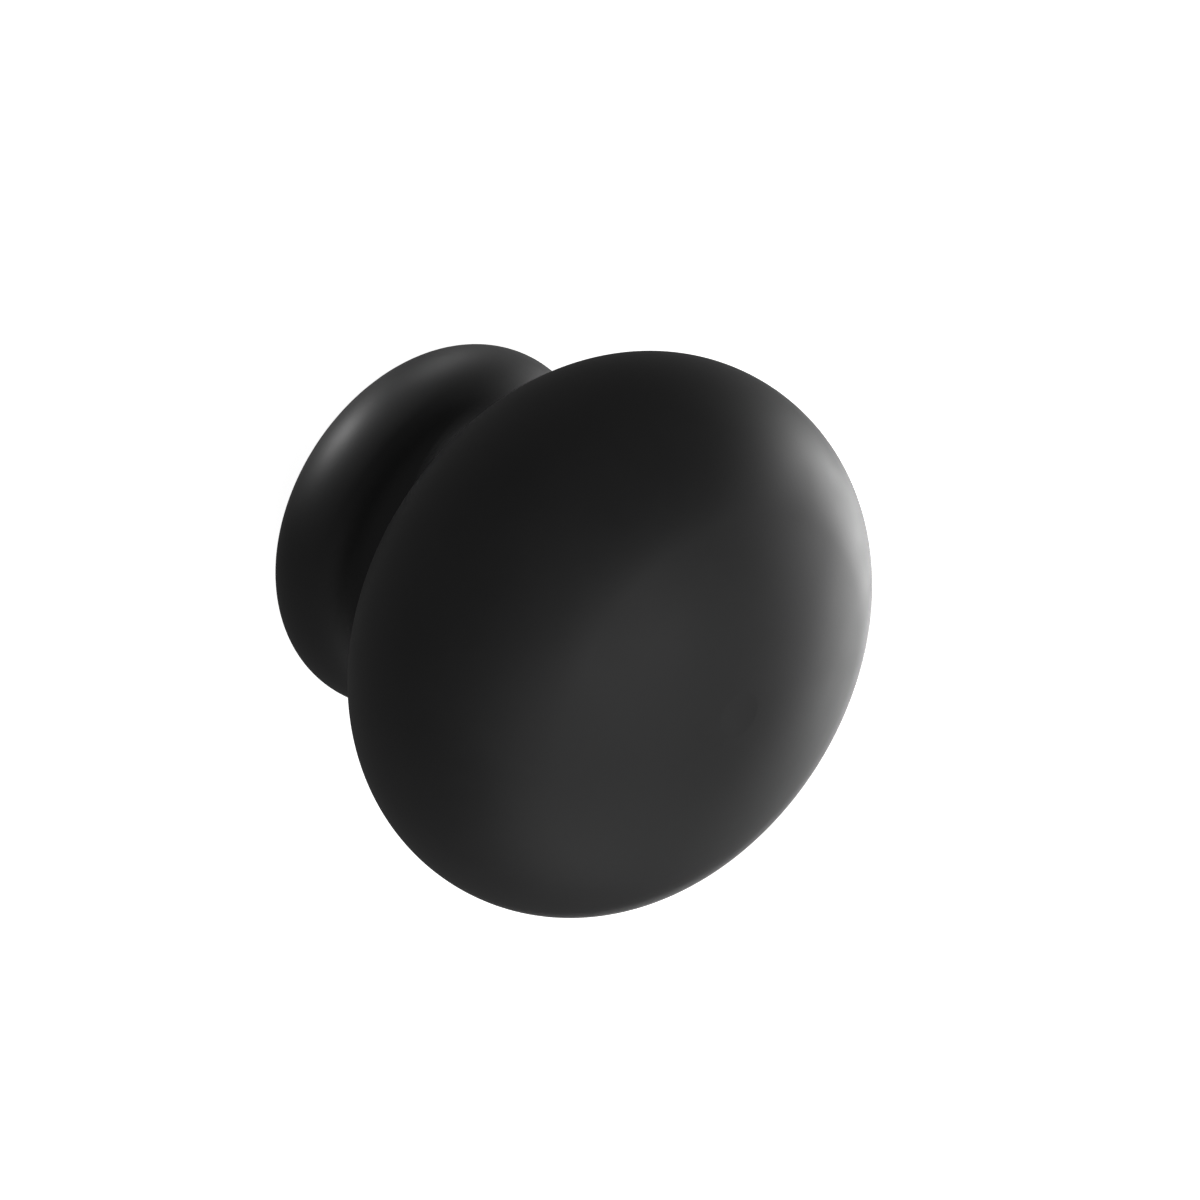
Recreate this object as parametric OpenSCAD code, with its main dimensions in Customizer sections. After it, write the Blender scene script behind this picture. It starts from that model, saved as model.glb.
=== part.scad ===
// Case-opening friction ball: two natural-rubber heads moulded on one steel core.
// The axis is +Z, the small face rests on z = 0 and the large face is on top.
// Every rubber outline runs smoothly from arc to arc, so each surface is a true torus or sphere.

/* [Large ball] */
// Widest diameter of the large head
large_d = 60; // [56:0.5:64]
// Radius of the rounded rim of the large head
large_rim_r = 16.5; // [15:0.1:17]
// Slope at which the domed large face runs into the rim, in degrees
large_face_angle = 24; // [18:1:32]
// Diameter of the flat land in the middle of the large face
large_land_d = 5; // [4:1:16]

/* [Small ball] */
// Widest diameter of the small head
small_d = 40; // [38:0.5:44]
// Radius of the rounded rim of the small head
small_rim_r = 6; // [5.5:0.1:6.5]
// Slope at which the domed small face runs into the rim, in degrees
small_face_angle = 25; // [20:1:32]
// Diameter of the flat land in the middle of the small face
small_land_d = 12; // [8:1:16]

/* [Waist] */
// Distance between the planes in which the two heads are widest
equator_gap = 27.2; // [26.5:0.1:29]
// Narrowest diameter of the rubber between the two heads
waist_d = 31.2; // [29:0.1:33]

/* [Core] */
// Diameter of the spindle's body where it crosses the waist
spindle_d = 15; // [13:0.5:17]
// Diameter of the threaded spindle ends
thread_d = 8; // [6:1:8]
// Side of the square seats that key the anchor plates to the spindle
seat_w = 8.6; // [8.4:0.1:9]
// Diameter of the anchor plate in the large head
large_plate_d = 38; // [34:1:42]
// Diameter of the anchor plate in the small head
small_plate_d = 24; // [23:1:26]
// Width across the flats of the two nuts
nut_w = 13; // [13:0.5:14]

/* [Hidden] */
$fn = 96;

rubber_black = [0.11, 0.11, 0.11];
plated_steel = [0.72, 0.73, 0.74];

// Neighbouring arcs cross each other by this much, so that they meet in a clean edge
lap = 0.01;

// Heads: where each rim arc is centred, and how high each face stands above its widest plane
large_rim_x = large_d / 2 - large_rim_r;
small_rim_x = small_d / 2 - small_rim_r;
large_face_r = face_radius(large_rim_x, large_rim_r, large_face_angle);
small_face_r = face_radius(small_rim_x, small_rim_r, small_face_angle);
large_h = land_height(large_rim_x, large_face_r, large_face_angle, large_land_d / 2);
small_h = land_height(small_rim_x, small_face_r, small_face_angle, small_land_d / 2);
small_z = small_h;
large_z = small_z + equator_gap;

// Groove: one arc that touches both rim arcs and reaches in to the waist. The heads meet in its plane.
large_side = large_d / 2 - waist_d / 2;
small_side = small_d / 2 - waist_d / 2;
side_ratio = small_side / large_side;
large_rise_sq = large_side * (2 * large_rim_r - large_side);
small_rise_sq = small_side * (2 * small_rim_r - small_side);
large_drop = groove_drop(equator_gap, side_ratio, large_rise_sq, small_rise_sq);
small_drop = equator_gap - large_drop;
groove_r = (large_drop * large_drop - large_rise_sq) / (2 * large_side) + lap;
groove_x = waist_d / 2 + groove_r;

// Core: heights of the plates and nuts
small_plate_t = 2;
large_plate_t = 2.5;
small_nut_h = 4;
large_nut_h = 6.5;
small_plate_z = small_z + 3.2;
large_plate_z = large_z - 9.7;
large_nut_z = large_plate_z + large_plate_t;
thread_past_nut = 1.2;
thread_chamfer = 0.8;

// Core: rings of holes in the plates, bonding grooves round the spindle, chamfered nut corners
hole_ring_share = 0.74;
large_plate_holes = 8;
large_plate_hole_d = 4.5;
small_plate_holes = 6;
small_plate_hole_d = 2.4;
bond_groove_w = 1.6;
bond_groove_depth = 0.7;
bond_groove_count = 3;
nut_face_share = 0.95;
nut_chamfer_angle = 30;

// Cutting solids run past what they cut by this much
past = 1;

// Radius of a face that leaves a rim arc at slope a and is centred on the axis
function face_radius(rim_x, rim_r, a) = rim_x / sin(a) + rim_r - lap;

// Height above the widest plane at which that face is cut by a flat land of radius land_r
function land_height(rim_x, face_r, a, land_r) = sqrt(face_r * face_r - land_r * land_r) - rim_x / tan(a);

// How far below the large head's widest plane the groove is centred: the drop x that solves
// (gap - x)^2 = small_sq + ratio * (x^2 - large_sq)
function groove_drop(gap, ratio, large_sq, small_sq) =
    (gap - sqrt(gap * gap - (1 - ratio) * (gap * gap - small_sq + ratio * large_sq))) / (1 - ratio);

// Half outline of one head, in radius and height above its widest plane, with the face looking up.
// drop is how far the groove's centre lies below that plane, and the outline ends there.
module head_outline(rim_x, rim_r, face_r, face_angle, land_h, drop) {
    rim_c = [rim_x, 0];
    face_c = [0, -rim_x / tan(face_angle)];
    groove_c = [groove_x, -drop];
    to_rim_end = [sin(face_angle), cos(face_angle)];
    difference() {
        intersection() {
            union() {
                translate(rim_c) circle(rim_r);
                intersection() {
                    translate(face_c) circle(face_r);
                    polygon([face_c, face_c + to_rim_end * 2 * face_r, face_c + [0, 2 * face_r]]);
                }
                polygon([[0, -drop], groove_c, rim_c, [0, 0]]);
            }
            translate([0, -drop]) square([large_d, drop + land_h]);
        }
        translate(groove_c) circle(groove_r);
    }
}

// A nut that lies flat on its plate at height z and is chamfered at its other end. up is 1 or -1.
module hex_nut(z, h, up) {
    face_r = nut_w * nut_face_share / 2;
    chamfer_fall = (nut_w - face_r) * tan(nut_chamfer_angle);
    translate([0, 0, z]) mirror([0, 0, up < 0 ? 1 : 0])
        difference() {
            cylinder(h = h, d = nut_w / cos(30), $fn = 6);
            translate([0, 0, h]) rotate_extrude() polygon([[face_r, 0], [nut_w, -chamfer_fall], [nut_w, 0]]);
            translate([0, 0, -past]) cylinder(h = h + 2 * past, d = thread_d);
        }
}

// A round plate with a square seat hole and a ring of holes that the rubber flows through
module anchor_plate(z, t, d, hole_count, hole_d) {
    difference() {
        translate([0, 0, z]) cylinder(h = t, d = d);
        translate([-seat_w / 2, -seat_w / 2, z - past]) cube([seat_w, seat_w, t + 2 * past]);
        for (i = [0:hole_count - 1])
            rotate(360 * i / hole_count) translate([d * hole_ring_share / 2, 0, z - past])
                cylinder(h = t + 2 * past, d = hole_d);
    }
}

// A threaded end, as a plain rod with a chamfered tip. up is 1 where the tip points up and -1 for down.
module spindle_thread(from_z, length, up) {
    translate([0, 0, from_z]) mirror([0, 0, up < 0 ? 1 : 0]) {
        cylinder(h = length - thread_chamfer, d = thread_d);
        translate([0, 0, length - thread_chamfer])
            cylinder(h = thread_chamfer, d1 = thread_d, d2 = thread_d - 2 * thread_chamfer);
    }
}

module spindle_solid() {
    body_z = small_plate_z + small_plate_t;
    body_h = large_plate_z - body_z;
    pitch = body_h / (bond_groove_count + 1);
    difference() {
        translate([0, 0, body_z]) cylinder(h = body_h, d = spindle_d);
        for (i = [1:bond_groove_count])
            translate([0, 0, body_z + i * pitch - bond_groove_w / 2])
                difference() {
                    cylinder(h = bond_groove_w, d = spindle_d + 2 * past);
                    cylinder(h = bond_groove_w, d = spindle_d - 2 * bond_groove_depth);
                }
    }
    translate([-seat_w / 2, -seat_w / 2, small_plate_z])
        cube([seat_w, seat_w, large_nut_z - small_plate_z]);
    spindle_thread(small_plate_z, small_nut_h + thread_past_nut, -1);
    spindle_thread(large_nut_z, large_nut_h + thread_past_nut, 1);
}

module large_plate_solid() {
    anchor_plate(large_plate_z, large_plate_t, large_plate_d, large_plate_holes, large_plate_hole_d);
}

module small_plate_solid() {
    anchor_plate(small_plate_z, small_plate_t, small_plate_d, small_plate_holes, small_plate_hole_d);
}

module large_nut_solid() {
    hex_nut(large_nut_z, large_nut_h, 1);
}

module small_nut_solid() {
    hex_nut(small_plate_z, small_nut_h, -1);
}

// The whole core, whose space is left out of the rubber
module core() {
    spindle_solid();
    large_plate_solid();
    small_plate_solid();
    large_nut_solid();
    small_nut_solid();
}

module large_ball() {
    color(rubber_black)
        difference() {
            translate([0, 0, large_z]) rotate_extrude()
                head_outline(large_rim_x, large_rim_r, large_face_r, large_face_angle, large_h, large_drop);
            core();
        }
}

module small_ball() {
    color(rubber_black)
        difference() {
            translate([0, 0, small_z]) mirror([0, 0, 1]) rotate_extrude()
                head_outline(small_rim_x, small_rim_r, small_face_r, small_face_angle, small_h, small_drop);
            core();
        }
}

module spindle() {
    color(plated_steel) spindle_solid();
}

module large_anchor_plate() {
    color(plated_steel) large_plate_solid();
}

module small_anchor_plate() {
    color(plated_steel) small_plate_solid();
}

module large_nut() {
    color(plated_steel) large_nut_solid();
}

module small_nut() {
    color(plated_steel) small_nut_solid();
}

large_ball();
small_ball();
spindle();
large_anchor_plate();
small_anchor_plate();
large_nut();
small_nut();
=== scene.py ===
"""Case-opening friction ball: two black rubber heads on a bonded steel core, drawn around the CAD model."""

import math

import bmesh
import bpy
from mathutils import Matrix, Vector


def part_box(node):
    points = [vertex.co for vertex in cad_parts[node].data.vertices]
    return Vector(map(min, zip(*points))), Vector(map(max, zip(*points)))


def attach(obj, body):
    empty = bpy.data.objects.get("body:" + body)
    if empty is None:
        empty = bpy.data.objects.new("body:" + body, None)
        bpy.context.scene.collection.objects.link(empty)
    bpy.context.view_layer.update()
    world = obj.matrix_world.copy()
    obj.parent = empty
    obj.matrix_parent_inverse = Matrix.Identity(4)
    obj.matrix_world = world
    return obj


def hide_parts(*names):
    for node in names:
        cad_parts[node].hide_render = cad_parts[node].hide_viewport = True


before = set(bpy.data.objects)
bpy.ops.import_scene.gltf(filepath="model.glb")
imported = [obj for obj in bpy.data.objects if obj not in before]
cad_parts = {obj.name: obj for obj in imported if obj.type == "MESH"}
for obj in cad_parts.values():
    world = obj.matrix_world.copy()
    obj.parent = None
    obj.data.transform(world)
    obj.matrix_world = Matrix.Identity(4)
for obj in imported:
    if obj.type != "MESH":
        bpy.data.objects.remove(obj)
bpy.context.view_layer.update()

# Outline of the heads, in metres and degrees. Their widths and heights come from the CAD nodes' boxes.
LARGE_RIM_R = 0.0165
LARGE_FACE_ANGLE = 24
SMALL_RIM_R = 0.006
SMALL_FACE_ANGLE = 25
LARGE_LAND_R = 0.0025
SMALL_LAND_R = 0.006
LAND_EDGE_R = 0.004
WAIST_R = 0.0156

# Fineness of the heads' meshes
STEPS_ROUND = 320
ARC_STEP = 0.0004
SHARED_POINT = ARC_STEP / 20
SAME_PLACE = 1e-6
SHARP_ANGLE = 30

# Noise cells in a metre of each surface
BLOOM_SCALE = 90
GRAIN_SCALE = 2600
SPANGLE_SCALE = 700


# ---- outlines ------------------------------------------------------------------------------------


def arc(centre, radius, start, end):
    """Points along an arc in radius and height, from one angle to another in radians, both included."""
    steps = max(2, math.ceil(abs(end - start) * radius / ARC_STEP))
    angles = [start + (end - start) * i / steps for i in range(steps + 1)]
    return [(centre[0] + radius * math.cos(a), centre[1] + radius * math.sin(a)) for a in angles]


def joined(*runs):
    """The runs of points as one line, without the points that two runs share."""
    line = []
    for run in runs:
        line += [p for p in run if not line or math.dist(p, line[-1]) > SHARED_POINT]
    return line


def face_run(rim_x, rim_r, face_angle, land_r):
    """The flat land, its soft edge and the dome, from the axis to the rim. Heights are above the equator."""
    slope = math.radians(face_angle)
    dome_r = rim_x / math.sin(slope) + rim_r
    dome_z = -rim_x / math.tan(slope)
    land_z = dome_z + math.sqrt(dome_r**2 - land_r**2)
    edge_z = land_z - LAND_EDGE_R
    edge_x = math.sqrt((dome_r - LAND_EDGE_R) ** 2 - (edge_z - dome_z) ** 2)
    edge_slope = math.atan2(edge_x, edge_z - dome_z)
    flat = [(0, land_z), (edge_x / 2, land_z), (edge_x, land_z)]
    soft_edge = arc((edge_x, edge_z), LAND_EDGE_R, math.pi / 2, math.pi / 2 - edge_slope)
    dome = arc((0, dome_z), dome_r, math.pi / 2 - edge_slope, math.pi / 2 - slope)
    return joined(flat, soft_edge, dome)


def groove_between(large_x, small_x, gap):
    """(centre x, drop below the large equator, radius) of the arc that touches both rims and the waist."""
    large_side = large_x + LARGE_RIM_R - WAIST_R
    small_side = small_x + SMALL_RIM_R - WAIST_R
    ratio = small_side / large_side
    large_sq = large_side * (2 * LARGE_RIM_R - large_side)
    small_sq = small_side * (2 * SMALL_RIM_R - small_side)
    inside = gap**2 - (1 - ratio) * (gap**2 - small_sq + ratio * large_sq)
    drop = (gap - math.sqrt(inside)) / (1 - ratio)
    radius = (drop**2 - large_sq) / (2 * large_side)
    return WAIST_R + radius, drop, radius


def head_run(face, rim_x, rim_r, face_angle, groove):
    """A head's whole outline from the middle of its face to the waist. Heights are above its equator."""
    groove_x, groove_drop, groove_r = groove
    to_groove = math.atan2(-groove_drop, groove_x - rim_x)
    rim = arc((rim_x, 0), rim_r, math.radians(90 - face_angle), to_groove)
    hollow = arc((groove_x, -groove_drop), groove_r, to_groove + math.pi, math.pi)
    return joined(face, rim, hollow)


# ---- meshes --------------------------------------------------------------------------------------


def cavity_of(node):
    """(walls of the space that the core fills inside a head, from its CAD mesh; the seam's height)."""
    bm = bmesh.new()
    bm.from_mesh(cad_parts[node].data)
    bmesh.ops.remove_doubles(bm, verts=bm.verts, dist=SAME_PLACE)
    low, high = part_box(node)
    seam = high.z if node == "small_ball" else low.z
    seam_faces = [f for f in bm.faces if all(abs(v.co.z - seam) < SAME_PLACE for v in f.verts)]
    bmesh.ops.delete(bm, geom=seam_faces, context="FACES")
    widest = max(bm.verts, key=lambda v: v.co.xy.length)
    outside, front = {widest}, [widest]
    while front:
        near = {e.other_vert(v) for v in front for e in v.link_edges} - outside
        outside |= near
        front = list(near)
    bmesh.ops.delete(bm, geom=list(outside), context="VERTS")
    return bm, seam


def turn_of(v):
    """How far round the axis a vertex lies, in radians."""
    return math.atan2(v.co.y, v.co.x) % (2 * math.pi)


def flat_ring(bm, inner, outer):
    """Fills the flat ring between two loops of vertices round the axis with triangles, in turn order."""
    inner, outer = sorted(inner, key=turn_of), sorted(outer, key=turn_of)
    i = j = 0
    while i < len(inner) or j < len(outer):
        a, b = inner[i % len(inner)], outer[j % len(outer)]
        next_inner, next_outer = inner[(i + 1) % len(inner)], outer[(j + 1) % len(outer)]
        inner_turn = turn_of(next_inner) + (2 * math.pi if i + 1 >= len(inner) else 0)
        outer_turn = turn_of(next_outer) + (2 * math.pi if j + 1 >= len(outer) else 0)
        if j == len(outer) or (i < len(inner) and inner_turn <= outer_turn):
            bm.faces.new((a, next_inner, b))
            i += 1
        else:
            bm.faces.new((a, next_outer, b))
            j += 1


def rubber_head(name, node, outline, material):
    """A head turned from its outline, with the CAD's cavity inside and a flat ring at the seam."""
    bm, seam = cavity_of(node)
    mouth = {v for e in bm.edges if e.is_boundary for v in e.verts}
    turns = [2 * math.pi * i / STEPS_ROUND for i in range(STEPS_ROUND)]
    rings = [[bm.verts.new((r * math.cos(a), r * math.sin(a), z)) for a in turns] for r, z in outline[1:]]
    for v in rings[-1]:
        v.co.z = seam
    pole = bm.verts.new((0, 0, outline[0][1]))
    for i in range(STEPS_ROUND):
        j = (i + 1) % STEPS_ROUND
        bm.faces.new((pole, rings[0][i], rings[0][j]))
        for a, b in zip(rings, rings[1:]):
            bm.faces.new((a[i], b[i], b[j], a[j]))
    flat_ring(bm, mouth, rings[-1])
    bmesh.ops.recalc_face_normals(bm, faces=bm.faces)
    mesh = bpy.data.meshes.new(name)
    bm.to_mesh(mesh)
    bm.free()
    mesh.shade_smooth()
    mesh.set_sharp_from_angle(angle=math.radians(SHARP_ANGLE))
    mesh.materials.append(material)
    head = bpy.data.objects.new(name, mesh)
    bpy.context.scene.collection.objects.link(head)
    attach(head, "root")
    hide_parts(node)


# ---- materials -----------------------------------------------------------------------------------


def new_material(name):
    """A node material with its nodes, its links and its Principled shader."""
    material = bpy.data.materials.new(name)
    material.use_nodes = True
    nodes, links = material.node_tree.nodes, material.node_tree.links
    return material, nodes, links, nodes["Principled BSDF"]


def noise(nodes, links, coords, scale, detail):
    """The value of a noise texture with this many cells in a metre."""
    node = nodes.new("ShaderNodeTexNoise")
    node.inputs["Scale"].default_value = scale
    node.inputs["Detail"].default_value = detail
    links.new(coords, node.inputs["Vector"])
    return node.outputs["Fac"]


def spread(nodes, links, value, low, high, out_low, out_high):
    """Maps a value's range from low..high to out_low..out_high, clamped."""
    node = nodes.new("ShaderNodeMapRange")
    links.new(value, node.inputs["Value"])
    for socket, number in zip(("From Min", "From Max", "To Min", "To Max"), (low, high, out_low, out_high)):
        node.inputs[socket].default_value = number
    return node.outputs["Result"]


def rubber():
    """Matt black moulded rubber with a faint uneven bloom and a fine grain."""
    material, nodes, links, shader = new_material("black_rubber")
    coords = nodes.new("ShaderNodeTexCoord").outputs["Object"]
    bloom = noise(nodes, links, coords, BLOOM_SCALE, 4)
    grain = noise(nodes, links, coords, GRAIN_SCALE, 3)
    tone = nodes.new("ShaderNodeValToRGB")
    tone.color_ramp.elements[0].position = 0.35
    tone.color_ramp.elements[0].color = (0.020, 0.020, 0.0205, 1)
    tone.color_ramp.elements[1].position = 0.7
    tone.color_ramp.elements[1].color = (0.026, 0.026, 0.0265, 1)
    links.new(bloom, tone.inputs["Fac"])
    links.new(tone.outputs["Color"], shader.inputs["Base Color"])
    links.new(spread(nodes, links, bloom, 0.3, 0.7, 0.52, 0.6), shader.inputs["Roughness"])
    shader.inputs["Specular IOR Level"].default_value = 0.4
    bump = nodes.new("ShaderNodeBump")
    bump.inputs["Strength"].default_value = 0.2
    bump.inputs["Distance"].default_value = 0.00002
    links.new(grain, bump.inputs["Height"])
    links.new(bump.outputs["Normal"], shader.inputs["Normal"])
    return material


def zinc():
    """Bright zinc plate with a fine spangle."""
    material, nodes, links, shader = new_material("zinc_plate")
    coords = nodes.new("ShaderNodeTexCoord").outputs["Object"]
    spangle = noise(nodes, links, coords, SPANGLE_SCALE, 3)
    tone = nodes.new("ShaderNodeValToRGB")
    tone.color_ramp.elements[0].color = (0.50, 0.52, 0.54, 1)
    tone.color_ramp.elements[1].color = (0.68, 0.69, 0.70, 1)
    links.new(spangle, tone.inputs["Fac"])
    links.new(tone.outputs["Color"], shader.inputs["Base Color"])
    links.new(spread(nodes, links, spangle, 0.3, 0.7, 0.22, 0.4), shader.inputs["Roughness"])
    shader.inputs["Metallic"].default_value = 1
    return material


def floor_paint():
    """Matt white paint with a glow of its own, as a lit table has."""
    material, nodes, links, shader = new_material("floor_paint")
    shader.inputs["Base Color"].default_value = (0.8, 0.8, 0.8, 1)
    shader.inputs["Roughness"].default_value = 0.9
    shader.inputs["Specular IOR Level"].default_value = 0.1
    shader.inputs["Emission Color"].default_value = (1, 1, 1, 1)
    shader.inputs["Emission Strength"].default_value = FLOOR_GLOW
    return material


# ---- the object ----------------------------------------------------------------------------------

_, large_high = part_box("large_ball")
small_low, small_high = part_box("small_ball")
large_rim_x = large_high.x - LARGE_RIM_R
small_rim_x = small_high.x - SMALL_RIM_R
large_face = face_run(large_rim_x, LARGE_RIM_R, LARGE_FACE_ANGLE, LARGE_LAND_R)
small_face = face_run(small_rim_x, SMALL_RIM_R, SMALL_FACE_ANGLE, SMALL_LAND_R)
large_equator = large_high.z - large_face[0][1]
small_equator = small_low.z + small_face[0][1]
gap = large_equator - small_equator
groove_x, groove_drop, groove_r = groove_between(large_rim_x, small_rim_x, gap)

large_groove = (groove_x, groove_drop, groove_r)
small_groove = (groove_x, gap - groove_drop, groove_r)
large_run = head_run(large_face, large_rim_x, LARGE_RIM_R, LARGE_FACE_ANGLE, large_groove)
small_run = head_run(small_face, small_rim_x, SMALL_RIM_R, SMALL_FACE_ANGLE, small_groove)
black_rubber = rubber()
rubber_head("large_head", "large_ball", [(r, large_equator + z) for r, z in large_run], black_rubber)
rubber_head("small_head", "small_ball", [(r, small_equator - z) for r, z in small_run], black_rubber)

steel = zinc()
for core_node in ("spindle", "large_anchor_plate", "small_anchor_plate", "large_nut", "small_nut"):
    core_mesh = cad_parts[core_node].data
    core_mesh.materials.clear()
    core_mesh.materials.append(steel)


# ---- stage, lights and camera --------------------------------------------------------------------

# Lengths are in metres, but the lens and the sensor in millimetres. Angles are in degrees.
FLOOR_R = 3.0
# The floor lies this far below the tool, so that it doesn't share a plane with the small face.
FLOOR_DROP = 0.0001
FLOOR_GLOW = 0.95
WORLD_LIGHT = 0.162
SOFT_BOX_DISTANCE = 1.0
SOFT_BOX_H = 0.5
SPOT_DISTANCE = 0.3
SPOT_BLEND = 0.5
SPOT_LAMP_R = 0.006
# Where the spots aim: this share of the small head's radius from the axis, at this height
SPOT_TARGET_SHARE = 0.95
SPOT_TARGET_Z = 0.006
CAMERA_ELEVATION = 39
CAMERA_ROLL = 121.9
CAMERA_DISTANCE = 1.0
CAMERA_LENS = 295.6
SENSOR = 36.0
# Where the middle of the large head's widest plane lies from the picture's centre, right and up
HEAD_RIGHT = 0.0012
HEAD_UP = -0.0036

middle = Vector((0, 0, large_equator))


def floor():
    """A round floor that the camera sees, but that neither shades nor lights the tool."""
    bm = bmesh.new()
    bmesh.ops.create_circle(bm, cap_ends=True, segments=96, radius=FLOOR_R)
    mesh = bpy.data.meshes.new("floor")
    bm.to_mesh(mesh)
    bm.free()
    mesh.materials.append(floor_paint())
    plane = bpy.data.objects.new("floor", mesh)
    plane.location.z = -FLOOR_DROP
    plane.visible_shadow = plane.visible_diffuse = plane.visible_glossy = False
    bpy.context.scene.collection.objects.link(plane)


def away_from(azimuth, elevation):
    """The direction from the object to a light. Azimuth 0 is on the camera's side."""
    a, e = math.radians(azimuth), math.radians(elevation)
    return Vector((math.sin(a) * math.cos(e), -math.cos(a) * math.cos(e), math.sin(e)))


def place_light(data, location, away):
    """Adds a light that shines back along away and that the camera doesn't see."""
    lamp = bpy.data.objects.new(data.name, data)
    lamp.location = location
    lamp.rotation_mode = "QUATERNION"
    lamp.rotation_quaternion = away.to_track_quat("Z", "Y")
    lamp.visible_camera = False
    bpy.context.scene.collection.objects.link(lamp)


def soft_box(name, azimuth, elevation, width, power):
    """An oval soft box that faces the middle of the large head."""
    data = bpy.data.lights.new(name, "AREA")
    data.shape = "ELLIPSE"
    data.size, data.size_y = width, SOFT_BOX_H
    data.energy = power
    away = away_from(azimuth, elevation)
    place_light(data, middle + away * SOFT_BOX_DISTANCE, away)


def rim_spot(name, azimuth, elevation, beam_r, power):
    """A narrow spot from below that picks out the small head's rim on its own side."""
    data = bpy.data.lights.new(name, "SPOT")
    data.spot_size = 2 * math.atan(beam_r / SPOT_DISTANCE)
    data.spot_blend = SPOT_BLEND
    data.shadow_soft_size = SPOT_LAMP_R
    data.energy = power
    target = away_from(azimuth, 0) * (small_high.x * SPOT_TARGET_SHARE) + Vector((0, 0, SPOT_TARGET_Z))
    away = away_from(azimuth, elevation)
    place_light(data, target + away * SPOT_DISTANCE, away)


def surroundings():
    """A white world that is plain white to the camera and gives a weaker, even light."""
    world = bpy.data.worlds.new("studio")
    world.use_nodes = True
    nodes, links = world.node_tree.nodes, world.node_tree.links
    light = nodes["Background"]
    light.inputs["Color"].default_value = (1, 1, 1, 1)
    light.inputs["Strength"].default_value = WORLD_LIGHT
    backdrop = nodes.new("ShaderNodeBackground")
    backdrop.inputs["Color"].default_value = (1, 1, 1, 1)
    mix = nodes.new("ShaderNodeMixShader")
    links.new(nodes.new("ShaderNodeLightPath").outputs["Is Camera Ray"], mix.inputs[0])
    links.new(light.outputs[0], mix.inputs[1])
    links.new(backdrop.outputs[0], mix.inputs[2])
    links.new(mix.outputs[0], nodes["World Output"].inputs["Surface"])
    bpy.context.scene.world = world


def camera(aim):
    """The photograph's view of the tool, from above and rolled, a long way off."""
    elevation, roll = math.radians(CAMERA_ELEVATION), math.radians(CAMERA_ROLL)
    back = Vector((0, -math.cos(elevation), math.sin(elevation)))
    level_right, level_up = Vector((1, 0, 0)), Vector((0, math.sin(elevation), math.cos(elevation)))
    right = level_right * math.cos(roll) + level_up * math.sin(roll)
    up = back.cross(right)
    data = bpy.data.cameras.new("camera")
    data.lens = CAMERA_LENS
    data.sensor_width = SENSOR
    data.clip_start, data.clip_end = 0.05, 20
    eye = bpy.data.objects.new("camera", data)
    eye.location = aim - right * HEAD_RIGHT - up * HEAD_UP + back * CAMERA_DISTANCE
    eye.rotation_euler = Matrix((right, up, back)).transposed().to_euler()
    bpy.context.scene.collection.objects.link(eye)
    bpy.context.scene.camera = eye


floor()
surroundings()
soft_box("side", 204, -5, 0.8, 7.7)
soft_box("side_high", 215, 10, 0.5, 2.4)
soft_box("side_low", 180, -30, 0.5, 2.2)
soft_box("top", 180, 80, 0.5, 2.1)
soft_box("fill_back", 150, 32, 0.5, 0.55)
soft_box("fill_right", 120, 32, 0.5, 0.85)
soft_box("fill_front", 60, 56, 0.5, 0.7)
rim_spot("rim_front", 345, -50, 0.01, 3.1)
rim_spot("rim_left", 285, -30, 0.014, 1.9)
camera(middle)
bpy.context.scene.view_settings.view_transform = "Standard"
